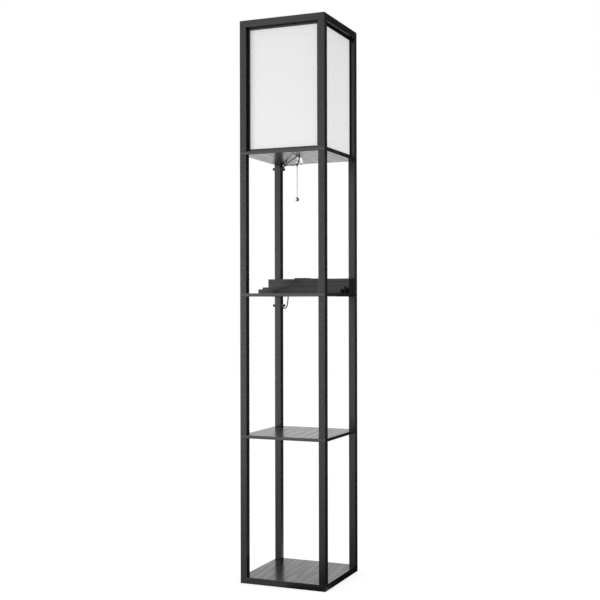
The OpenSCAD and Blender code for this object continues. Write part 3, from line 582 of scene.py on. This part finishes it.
# The undersides of the three shelves, and the tops of the middle and the upper one
LOWER = BASE + LONG
MIDDLE = LOWER + BOARD + LONG
UPPER = MIDDLE + BOARD + LONG
DECK, SHADE = MIDDLE + BOARD, UPPER + BOARD
CORNERS = {"front_left": (-CENTRE, -CENTRE), "front_right": (CENTRE, -CENTRE),
           "rear_left": (-CENTRE, CENTRE), "rear_right": (CENTRE, CENTRE)}
TIERS = {"bottom": (BASE, LONG), "middle": (LOWER + BOARD, LONG), "upper": (DECK, LONG),
         "shade": (SHADE, SHORT)}
long_post, short_post = (
    crisp(block(name, (-HALF_POST, -HALF_POST, 0), (HALF_POST, HALF_POST, height), 0.7))
    for name, height in (("long_post", LONG), ("short_post", SHORT)))
for tier, (floor, height) in TIERS.items():
    for corner, (x, y) in CORNERS.items():
        pattern = long_post if height == LONG else short_post
        post = another(pattern, f"{tier}_{corner}_post", (x, y, floor))
        fitted(post, ash_up, "black_ash", f"{tier}_post_{corner}")
for pattern in (long_post, short_post):
    bpy.data.objects.remove(pattern)

# %% [markdown]
# ## Boards
# The base board and the three shelves are as wide as the column, and the posts stand on them.
# Their grain runs from front to back, while the strip glued on the front and rear edges has
# its grain lengthwise. The holes for the leads and the sinks for the base bolts are cut with
# a boolean, as a drill would.

# %% Boards
def rod(name, centre, radius, length, way=(0, 0, 1), sides=32, top=None):
    """A round bar in millimetres through its centre, along a direction; it may taper."""
    deselect()
    bpy.ops.mesh.primitive_cone_add(
        vertices=sides, radius1=radius * MM, radius2=(radius if top is None else top) * MM,
        depth=length * MM, location=[v * MM for v in centre],
        rotation=Vector(way).to_track_quat('Z', 'Y').to_euler())
    piece = bpy.context.object
    piece.name = piece.data.name = name
    place_in_mesh(piece)
    return piece


def cut(piece, *tools, operation='DIFFERENCE'):
    for tool in tools:
        apply(piece, 'BOOLEAN', object=tool, operation=operation, solver='EXACT')
        bpy.data.objects.remove(tool)
    return piece


def banded(piece, across, edge):
    """The front and rear edges get their own strip of foil."""
    piece.data.materials.clear()
    piece.data.materials.append(across)
    piece.data.materials.append(edge)
    for face in piece.data.polygons:
        face.material_index = 1 if abs(face.normal.y) > 0.7 else 0
    return piece


def board(name, floor, thick, *tools, edge=0.6, strip=ash_edge):
    piece = block(name, (-OUTER, -OUTER, floor), (OUTER, OUTER, floor + thick), edge)
    return banded(crisp(cut(piece, *tools)), ash_deep, strip)


LEAD_HOLE, NIPPLE_HOLE, DRILL = 3.5, 5.1, 20
sinks = [rod("sink", (x, y, 1.4), 6.7, 4.8, top=3.2) for x, y in CORNERS.values()]
base = board("base", 0, BASE, *sinks, edge=0.8, strip=ash_along)
lower = board("lower_board", LOWER, BOARD)
middle = board("middle_board", MIDDLE, BOARD,
               rod("hole", (-74.5, 86.5, MIDDLE + 4), LEAD_HOLE, DRILL))
upper = board("upper_board", UPPER, BOARD,
              rod("hole", (20.5, -51, UPPER + 4), LEAD_HOLE, DRILL),
              rod("slant", (18.5, -60, UPPER), LEAD_HOLE, 70, (10, -1, 10.5)),
              rod("hole", (0, 0, UPPER + 4), NIPPLE_HOLE, DRILL))
for piece, node in ((base, "base_board"), (lower, "lower_shelf"), (middle, "middle_shelf"),
                    (upper, "upper_shelf")):
    fitted(piece, None, "black_ash", node)
print("boards", [len(p.data.polygons) for p in (base, lower, middle, upper)])

# %% [markdown]
# ## Top rails
# Four square rails close the light box at the top: two long ones across the front and the
# back, and two shorter ones butted between them. Each is a block with its grain lengthwise,
# so the joint shows as a change of grain as well as a fine line.

# %% Top rails
RAIL_LOW, RAIL_HIGH, PLAY = SHADE + SHORT, 1600, 0.3


def rail(low, high, finish):
    piece = crisp(block("rail", (*low, RAIL_LOW), (*high, RAIL_HIGH), 0.7))
    piece.data.materials.append(finish)
    return piece


rails = [rail((-OUTER, y - HALF_POST), (OUTER, y + HALF_POST), ash_along)
         for y in (-CENTRE, CENTRE)]
rails += [rail((x - HALF_POST, PLAY - INNER), (x + HALF_POST, INNER - PLAY), ash_deep)
          for x in (-CENTRE, CENTRE)]
fitted(joined("top_rail_frame", *rails), None, "black_ash", "top_rails")
print("top rails joined")

# %% [markdown]
# ## Shade frames and panels
# A thin frame stands between the posts on each side, 12 mm behind their faces, and holds a
# linen panel in a rebate at its back. One frame is built from two stiles and two rails, the
# rebate is cut with one block, and the other three sides are turned copies.

# %% Shade frames
def strip(low, high, finish):
    piece = block("strip", low, high, 0.5)
    piece.data.materials.append(finish)
    return piece


FRONT, DEEP, STRIP = -118, 8, 7
bottom, top, out, inner = SHADE + PLAY, RAIL_LOW - PLAY, INNER - PLAY, INNER - PLAY - STRIP
stiles = [strip((x, FRONT, bottom), (x + STRIP, FRONT + DEEP, top), ash_up)
          for x in (-out, inner)]
spans = [strip((PLAY - inner, FRONT, z), (inner - PLAY, FRONT + DEEP, z + STRIP), ash_along)
         for z in (bottom, top - STRIP)]
rebate = block("rebate", (-106.2, FRONT + 1.5, bottom + 3.5),
               (106.2, FRONT + DEEP + 1, top - 3.5), 0)
rebate.data.materials.append(ash_up)
first_frame = crisp(cut(joined("frame_front", *stiles, *spans), rebate))
linen_panel = crisp(block("panel_front", (-105.9, -116.5, 1231.1), (105.9, -115.3, 1575.9), 0.25))
for side, turn in (("right", 90), ("rear", 180), ("left", 270), ("front", 0)):
    shade_frame, panel = first_frame, linen_panel
    if turn:
        shade_frame = another(first_frame, f"frame_{side}", turn=turn)
        panel = another(linen_panel, f"panel_{side}", turn=turn)
        if turn != 180:
            shade_frame.data.materials[1] = ash_deep
    fitted(shade_frame, None, "black_ash", f"shade_frame_{side}")
    fitted(panel, linen, "linen", f"shade_panel_{side}")
print("shade frame faces", len(first_frame.data.polygons))

# %% [markdown]
# ## Charging dock
# The dock is a long box of the same foil across the back of the middle shelf, with two lower
# lips in front of it, so that a tablet and a phone can stand on edge in the gaps between. The
# lid has a cut-out for the power module. The box is made of the shelves' 9 mm board.

# %% Dock
DOCK_FRONT, DOCK_BACK = 63, INNER
WALLS_TOP = DECK + 35
LID_TOP = WALLS_TOP + BOARD
dock_parts = [block("wall", (-OUTER, y, DECK), (OUTER, y + BOARD, WALLS_TOP), 0.6)
              for y in (DOCK_FRONT, DOCK_BACK - BOARD)]
dock_parts += [block("end", (x, 72.3, DECK), (x + BOARD, 100.7, WALLS_TOP), 0.5)
               for x in (-OUTER, OUTER - BOARD)]
dock = fitted(crisp(joined("dock_box", *dock_parts)), ash_calm, "black_ash", "dock_walls")
lid = block("dock_top", (-OUTER, DOCK_FRONT, WALLS_TOP), (OUTER, DOCK_BACK, LID_TOP), 0.6)
lid = crisp(cut(lid, block("opening", (-43.3, 73.2, 850), (27.3, 99.8, 880), 0)))
fitted(lid, ash_calm, "black_ash", "dock_lid")
for name, low, high in (("rear", (-OUTER, 21, DECK), (OUTER, 30, 843)),
                        ("front", (-OUTER, -8, DECK), (OUTER, 0, 837))):
    fitted(crisp(block(f"{name}_lip", low, high, 0.6)), ash_calm, "black_ash", f"lip_{name}")
print("dock faces", len(dock.data.polygons))

# %% [markdown]
# ## Power module
# Two moulded faces share one box in the lid: a dark one with the slots and round hole of an
# outlet, and a greyer one with two charging ports. Each face is a flange with rounded edges
# and a block below it, joined by a boolean. The openings are cut to their real depth, and the
# slots stand as far apart as the blades of a plug.

# %% Power module
OUTLET_X, PIN = -25, 6.35


def face(name, x, block_x, top, edge, *tools):
    """A flange on the lid, with its middle at x, and a block below it with its own middle."""
    flange = block(name, (x - 19.5, 68.5, LID_TOP), (x + 19.5, 104.5, top), edge, 3)
    under = block("under", (block_x - 16, 76, top - 15), (block_x + 16, 97, top - 0.5), 0.3)
    return crisp(cut(cut(flange, under, operation='UNION'), *tools), 40)


outlet_tools = [block("slot", (x - 1, 86, 857), (x + 1, 94, 872), 0)
                for x in (OUTLET_X - PIN, OUTLET_X + PIN)]
outlet = face("outlet_plate", -27.5, OUTLET_X, 871, 0.6, *outlet_tools,
              rod("earth", (OUTLET_X, 81, 864.5), 2.5, 15))
PORTS_Y = (81.5, 91.5)
ports = [block("port", (2.5, y - 2.8, 856.2), (15.5, y + 2.8, 872), 0.4) for y in PORTS_Y]
charger = face("charging_plate", 11.5, 9, 869.2, 0.4, *ports)
tongues = [block("tongue", (3.5, y - 0.05, 855.7), (14.5, y + 1.85, 868.2), 0.2)
           for y in PORTS_Y]
fitted(outlet, black_plastic, "black_plastic", "outlet_face")
fitted(joined("charging_plate", charger, *tongues), grey_plastic, "grey_plastic", "usb_face")
print("power module faces", len(outlet.data.polygons), len(charger.data.polygons))

# %% [markdown]
# ## Turned pieces
# The lamp holder, the bulb and the bell under the shelf are round, so each is drawn as a
# profile of rings, from one circle that is extruded and resized ring by ring, as a turner
# works along a blank. A closed profile gives a wall with an inside and an outside.

# %% Turned pieces
def turned(name, rings, sides=48, cap=True, angle=35):
    """A round piece about the lamp's axis, through rings of radius and height."""
    deselect()
    radius, height = rings[0]
    bpy.ops.mesh.primitive_circle_add(vertices=sides, radius=radius * MM,
                                      location=(0, 0, height * MM))
    piece = bpy.context.object
    piece.name = piece.data.name = name
    place_in_mesh(piece)
    shaped(piece)
    if cap:
        bpy.ops.mesh.edge_face_add()
    for wide, high in rings[1:]:
        bpy.ops.mesh.extrude_region_move(
            TRANSFORM_OT_translate={"value": (0, 0, (high - height) * MM)})
        bpy.ops.transform.resize(value=(wide / radius, wide / radius, 1),
                                 center_override=(0, 0, high * MM))
        radius, height = wide, high
    bpy.ops.mesh.select_all(action='SELECT')
    bpy.ops.mesh.remove_doubles(threshold=1e-6)
    bpy.ops.mesh.normals_make_consistent(inside=False)
    back()
    bpy.ops.object.shade_smooth_by_angle(angle=math.radians(angle))
    return piece


print("turning helper ready")

# %% [markdown]
# ## Lamp holder and bulb
# Inside the light box a black holder with a ribbed skirt stands on the shelf. Its hollow takes
# the screw shell, and a white globe bulb is screwed down in it. They show only from above,
# through the open top of the box.

# %% Holder and bulb
ribs = [(19 - 0.7 * (k % 2), 1258 + 1.6 * k) for k in range(16)]
holder = turned("lamp_holder", [(5.05, 1227), (18.4, 1227), (19, 1227.6), (19, 1256)] + ribs
                + [(19, 1285), (17.2, 1287), (14.9, 1287), (14.5, 1286.6), (14.5, 1261),
                   (12, 1258), (12, 1242), (5.05, 1242), (5.05, 1227)], cap=False)
fitted(holder, black_plastic, "black_plastic", "holder_body")

threads = [(13.1 - 0.5 * (k % 2), 1267 + 1.8 * k) for k in range(12)]
cap = turned("bulb_cap_dressed", [(4, 1262.1), (5, 1263.4), (11, 1264.7), (12.6, 1266)] + threads
             + [(13.1, 1289), (12.6, 1290.7)])
fitted(cap, nickel, "nickel", "bulb_cap")
arc = [math.radians(a) for a in range(-50, 86, 7)]
globe = turned("globe", [(13.4, 1290.7)] + [(30 * math.cos(a), 1344.7 + 30 * math.sin(a))
                                            for a in arc] + [(1.2, 1374.7)], 64)
fitted(globe, opal, "opal_glass", "bulb_globe")
print("holder, cap and globe", [len(p.data.polygons) for p in (holder, cap, globe)])

# %% [markdown]
# ## Bell, switch and chain
# A white painted bell under the upper shelf covers the switch, and the chain hangs from the
# spout beside its middle. A ball chain is stamped in one strip: hollow beads with short links
# between. There are only 21, so one bead and its link are modelled with few faces and copied.
# The beads have a satin finish; the pull at the end is a polished ball with a small collar.

# %% Bell and chain
bell = turned("bell", [(5.1, 1218), (7, 1218), (7, 1213.4), (7.4, 1211.5), (8.6, 1208.6),
                       (10.6, 1205.8), (12.6, 1203.2), (14.1, 1201.6), (14.5, 1201),
                       (13.6, 1201), (11.8, 1202.9), (9.8, 1205.2), (7.7, 1208.6),
                       (6.55, 1211.6), (5.1, 1212.1), (5.1, 1218)], 64, cap=False, angle=60)
fitted(bell, white_paint, "white_paint", "switch_bell")


def ball(name, centre, radius, across, down):
    deselect()
    bpy.ops.mesh.primitive_uv_sphere_add(segments=across, ring_count=down, radius=radius * MM,
                                         location=[v * MM for v in centre])
    piece = bpy.context.object
    piece.name = piece.data.name = name
    place_in_mesh(piece)
    bpy.ops.object.shade_smooth()
    return piece


CHAIN_X, EYE_Z, FIRST, PITCH, BEADS = -8, 1192.4, 1188.8, 4.2, 21
bead = ball("bead", (CHAIN_X, 0, FIRST), 1.5, 10, 7)
link = rod("link", (CHAIN_X, 0, FIRST - PITCH / 2), 0.45, 2.2, sides=6)
pair = joined("pair", bead, link)
chain = [another(pair, "pair", (0, 0, -PITCH * k)) for k in range(1, BEADS)]
pull = ball("pull", (CHAIN_X, 0, 1098.3), 6.0, 32, 20)
collar = rod("collar", (CHAIN_X, 0, 1103.9), 2.1, 1.8, sides=24, top=1.6)
fitted(joined("bead_chain", pair, *chain), bead_nickel, "nickel", "pull_chain", body="pull_chain")
fitted(joined("pull", pull, collar), nickel, "nickel", body="pull_chain")
fitted(ball("eye", (CHAIN_X, 0, EYE_Z), 1.8, 24, 14), nickel, "nickel", "chain_eye",
       body="chain_eye")
print("chain beads", BEADS)

# %% [markdown]
# ## Cord clips
# Two black clips hold the leads behind the rear left post. A round lug grips each side of the
# post, and a strap behind the leads is joined to the lugs by two slanting arms. The lugs are
# bars cut flat where they meet the post, with the bisect tool; an arm is a short block whose
# rear face is drawn out sideways.

# %% Clips
def eased(piece, edge):
    apply(piece, 'BEVEL', width=edge * MM, segments=2, limit_method='ANGLE',
          angle_limit=math.radians(40))
    return piece


def lug(x, z, side):
    """A round bar along one side of the post, cut flat where it meets the post's face at x."""
    piece = rod("lug", (x + side * 3.5, 121.5, z), 4, 19, (0, 1, 0))
    shaped(piece)
    bpy.ops.mesh.bisect(plane_co=(x * MM, CENTRE * MM, z * MM), plane_no=(side, 0, 0),
                        clear_inner=True, use_fill=True)
    back()
    return eased(piece, 0.5)


def arm(x, z, side):
    """A slanting arm from a lug to the strap behind the leads."""
    near, far = sorted((x + side, x + side * 2.7))
    piece = block("arm", (near, 130, z - 3), (far, 133, z), 0)
    shaped(piece)
    bpy.ops.mesh.select_all(action='DESELECT')
    back()
    for face in piece.data.polygons:
        face.select = face.normal.y > 0.9
    bpy.context.tool_settings.mesh_select_mode = (False, False, True)
    hold(piece)
    bpy.ops.object.mode_set(mode='EDIT')
    bpy.ops.mesh.extrude_region_move(
        TRANSFORM_OT_translate={"value": (-side * 4.2 * MM, 8.3 * MM, 0)})
    back()
    return eased(piece, 0.3)


CLIPS_Z = (1205, 789)
clip_parts = []
for z in CLIPS_Z:
    clip_parts.append(block("strap", (-128.5, 139, z - 4), (-111.5, 141.5, z + 4), 0.7))
    for x, side in ((-OUTER, -1), (-INNER, 1)):
        clip_parts += [lug(x, z, side), arm(x, z, side)]
clips = fitted(crisp(joined("clips", *clip_parts), 35), black_plastic, "black_plastic",
               "cord_clips")
print("clip faces", len(clips.data.polygons))

# %% [markdown]
# ## Strain reliefs, tie and plug
# Where a lead enters a housing, a soft sleeve with rings keeps it from bending sharply; its
# rings get smaller towards the lead. The plug is a moulded block with its own sleeve and two
# flat blades with holes near their tips. A flat tie holds the hank at its waist.

# %% Reliefs, tie and plug
def sleeve(name, start, way, length, wide, narrow, count=6):
    """A ringed sleeve from start along a direction, from its wide end to its narrow one."""
    rings = [(wide, 0)]
    for k in range(count):
        r, z, part = wide + (narrow - wide) * k / count, length * (k + 0.3) / count, length / count
        rings += [(r, z), (r * 0.86, z + 0.3 * part), (r * 0.86, z + 0.5 * part)]
    piece = turned(name, rings + [(narrow, length - 0.6), (narrow * 0.9, length)], 24)
    turn = Vector(way).to_track_quat('Z', 'Y').to_matrix().to_4x4()
    piece.data.transform(Matrix.Translation([v * MM for v in start]) @ turn)
    return piece


LEAVE_Z, SEAT, TIP = 1250, 16, 2.4


def holder_sleeve(name, way, length):
    """A sleeve in the holder's wall, where a lead leaves it level along a direction."""
    start = [v / math.hypot(*way) * SEAT for v in way]
    return sleeve(name, (*start, LEAVE_Z), (*way, 0), length, 3.2, TIP)


sleeves = [holder_sleeve("link_sleeve", (4, -10), 21.7),
           holder_sleeve("mains_sleeve", (8, -6), 24)]
fitted(joined("sleeves", *sleeves), black_plastic, "black_plastic", "lead_reliefs")

band = block("tie", (-63, 137.1, 0.02), (-57, 159.3, 8.53), 1.2, 3)
band = crisp(cut(band, block("inside", (-64, 137.7, 0.62), (-56, 158.7, 7.93), 0.9, 2)), 35)
fitted(band, black_plastic, "black_plastic", "hank_tie")

plug = block("plug_body", (40, PLUG_Y - 11, 0.1), (66, PLUG_Y + 11, 10.6), 0)
shaped(plug)
bpy.ops.mesh.bevel(offset=2.6 * MM, segments=4, affect='EDGES')
back()
grip = [block("groove", (46 + 4 * k, y - 1, -1), (47.6 + 4 * k, y + 1, 12), 0.5)
        for k in range(4) for y in (PLUG_Y - 11.3, PLUG_Y + 11.3)]
plug = crisp(cut(plug, *grip, rod("bore", (36, PLUG_Y, PLUG_Z), 1.9, 20, (1, 0, 0))), 40)
plug = joined("plug", plug, sleeve("plug_sleeve", (41, PLUG_Y, PLUG_Z), (-1, 0, 0), 21, 4.1, TIP))
fitted(plug, black_plastic, "black_plastic", "mains_plug")
blades = []
for y in (PLUG_Y - PIN, PLUG_Y + PIN):
    blade = block("blade", (58, y - 0.75, 2.2), (82, y + 0.75, 8.5), 0.35)
    blades.append(crisp(cut(blade, rod("eye", (77, y, 5.35), 1.5, 6, (0, 1, 0)))))
blades = fitted(joined("blades", *blades), zinc, "steel", "plug_blades")
print("plug faces", len(plug.data.polygons))

# %% [markdown]
# ## The leads as cords
# The two tubes drawn at the start now get their sheath. The mains tube stands for the
# lead, its hank and its tail.

# %% Leads
fitted(link_cord, sheath, "black_cord", "link_lead")
fitted(mains_cord, sheath, "black_cord", "mains_lead", "mains_hank", "mains_tail")

# %% [markdown]
# ## Finishes for the solids that stay
# Some solids already have the right shape, mostly hidden fasteners and the insides of the
# holder and the module. They keep their meshes and only get their finish.

# %% Hidden pieces
KEPT = {zinc: ("base_bolts", "shelf_studs", "holder_nipple", "pull_stem"),
        beech: ("frame_dowels",), nickel: ("socket_shell",), brass: ("centre_contact",),
        black_plastic: ("switch_body", "module_box"), green_board: ("converter_board",)}
for finish, names in KEPT.items():
    for name in names:
        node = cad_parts[name]
        node.data.materials.clear()
        node.data.materials.append(finish)
print("solids kept", sum(len(names) for names in KEPT.values()))

# %% [markdown]
# ## Floor and room
# The lamp stands on a white floor in a plain white room, as in a small studio. Real paper would
# need much light to look white, and the lamp would turn grey in it. So full white is given only
# to what the camera sees, to reflections and to what shows through glass, and the room's own
# light is weaker. Reflections alone are also painted dark towards the back right, as if a
# black screen stood there, which keeps the right-hand faces black, and towards the camera's
# side, which gives round bright parts their dark middle. In reflections the floor is painted
# dimmer near the lamp too: painted shade around its foot.

# %% Floor and room
# Level directions, one unit long: to the back right, where reflections are painted dark as if a
# black screen stood there, and to the camera
PAINTED_DARK_WAY, CAMERA_SIDE = (0.906, 0.423, 0), (0.389, -0.921, 0)
WHITE, PAPER, PAINTED_DARK_FLOOR = (1, 1, 1, 1), (0.6, 0.6, 0.6), (0.04, 0.04, 0.04)
PAPER_LEVEL, ROOM_LEVEL, PAINTED_DARK_LEVEL = 0.7, 0.55, 0.035


def towards(tree, direction, way, start, end):
    """1 along a direction, 0 away from it; start and end are cosines."""
    unit = add(tree, 'ShaderNodeVectorMath', {0: direction}, operation='NORMALIZE').outputs[0]
    facing = add(tree, 'ShaderNodeVectorMath', {0: unit, 1: way}, operation='DOT_PRODUCT')
    return spread(tree, facing.outputs["Value"], start, end)


def painted_dark_reflection(tree, direction, start, end):
    """1 towards the back right or the camera's side, where reflections are painted dark."""
    return math_node(tree, 'MAXIMUM', towards(tree, direction, PAINTED_DARK_WAY, start, end),
                     towards(tree, direction, CAMERA_SIDE, 0.9, 0.96))


deselect()
bpy.ops.mesh.primitive_circle_add(vertices=64, radius=9, fill_type='NGON',
                                  location=(0, 0, -0.0002))
floor = bpy.context.object
floor.name = "floor"
floor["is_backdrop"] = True
paper = bpy.data.materials.new("white_floor")
paper.use_nodes = True
tree = paper.node_tree
shader = tree.nodes["Principled BSDF"]
shader.inputs["Roughness"].default_value = 0.9
shader.inputs["Specular IOR Level"].default_value = 0
rays = add(tree, 'ShaderNodeLightPath').outputs
spot = add(tree, 'ShaderNodeTexCoord').outputs["Object"]
# Painted dark reflection: to reflections only, the floor's colour turns dark towards the back
# right and the camera's side.
painted_dark_mask = math_node(tree, 'MULTIPLY', rays["Is Glossy Ray"],
                     painted_dark_reflection(tree, spot, 0.35, 0.66))
tree.links.new(between(tree, painted_dark_mask, PAPER, PAINTED_DARK_FLOOR), shader.inputs["Base Color"])
# Painted shade in reflections: to them the floor is dimmer near the lamp and brightens outwards to
# 5 m.
away = add(tree, 'ShaderNodeVectorMath', {0: spot}, operation='LENGTH').outputs["Value"]
mirrored = math_node(tree, 'MULTIPLY', spread(tree, away, 0.8, 5, 0.25, 1.1),
                     math_node(tree, 'SUBTRACT', rays["Is Glossy Ray"], painted_dark_mask))
seen = math_node(tree, 'MAXIMUM', rays["Is Camera Ray"], rays["Is Transmission Ray"])
shader.inputs["Emission Color"].default_value = WHITE
tree.links.new(math_node(tree, 'MULTIPLY', math_node(tree, 'ADD', seen, mirrored), PAPER_LEVEL),
               shader.inputs["Emission Strength"])
floor.data.materials.append(paper)

room = bpy.data.worlds.new("room")
bpy.context.scene.world = room
room.use_nodes = True
tree = room.node_tree
rays = add(tree, 'ShaderNodeLightPath').outputs
way = add(tree, 'ShaderNodeTexCoord').outputs["Generated"]
seen = math_node(tree, 'MAXIMUM', rays["Is Camera Ray"], rays["Is Transmission Ray"])
# Painted dark reflection: to reflections only, the room is dimmed towards the back right and the
# camera's side.
mirrored = math_node(tree, 'MULTIPLY', rays["Is Glossy Ray"],
                     spread(tree, painted_dark_reflection(tree, way, 0.3, 0.6), 0, 1, 1, PAINTED_DARK_LEVEL))
soft = math_node(tree, 'SUBTRACT', 1, math_node(tree, 'MAXIMUM', rays["Is Camera Ray"],
                                                 math_node(tree, 'MAXIMUM', rays["Is Glossy Ray"],
                                                           rays["Is Transmission Ray"])))
level = math_node(tree, 'ADD', math_node(tree, 'ADD', seen, mirrored),
                  math_node(tree, 'MULTIPLY', soft, ROOM_LEVEL))
backdrop = tree.nodes["Background"]
tree.links.new(level, backdrop.inputs["Strength"])
backdrop.inputs["Color"].default_value = WHITE
print("stage:", floor.name, "and", room.name)

# %% [markdown]
# ## Lamps
# A large soft lamp stands in front on the left, and a narrow tall one on the right. Small lamps
# would give the posts hard shadows. Two narrow spots at the bell's height pick it out under the
# dark shelf. They and the lamp on the right are kept out of reflections, so that no bright
# patch lies on the boards.

# %% Lamps
def lamp_at(name, place, aim, watts, kind='AREA', **settings):
    deselect()
    bpy.ops.object.light_add(type=kind, location=place)
    lamp = bpy.context.object
    lamp.name, lamp.data.energy = name, watts
    for key, value in settings.items():
        setattr(lamp.data, key, value)
    lamp.rotation_euler = (Vector(aim) - Vector(place)).to_track_quat('-Z', 'Y').to_euler()
    return lamp


BELL = (0, 0, 1.208)
bpy.context.scene.view_settings.view_transform = 'Standard'
lamp_at("front_left_lamp", (-3.4, -2.9, 0.5), (0, 0, 0.6), 84, shape='RECTANGLE',
        size=2.0, size_y=2.0)
side_lamp = lamp_at("right_lamp", (3.2, 0.0, 0.9), (0, 0, 0.8), 20, shape='RECTANGLE',
                    size=0.4, size_y=2.6)
spots = [lamp_at(f"bell_spot_{side}", place, BELL, 420, 'SPOT',
                 spot_size=math.radians(1.2), spot_blend=0.4, shadow_soft_size=0.008)
         for side, place in (("left", (-2.7, -1.3, 1.12)), ("right", (2.9, -0.85, 1.12)))]
for lamp in (side_lamp, *spots):
    lamp.visible_glossy = False

# %% [markdown]
# ## Closing
# The box of the dressed lamp, without the floor, is printed.

# %% Finish
low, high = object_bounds()
print("dressed box", [round(v, 4) for v in (*low, *high)])
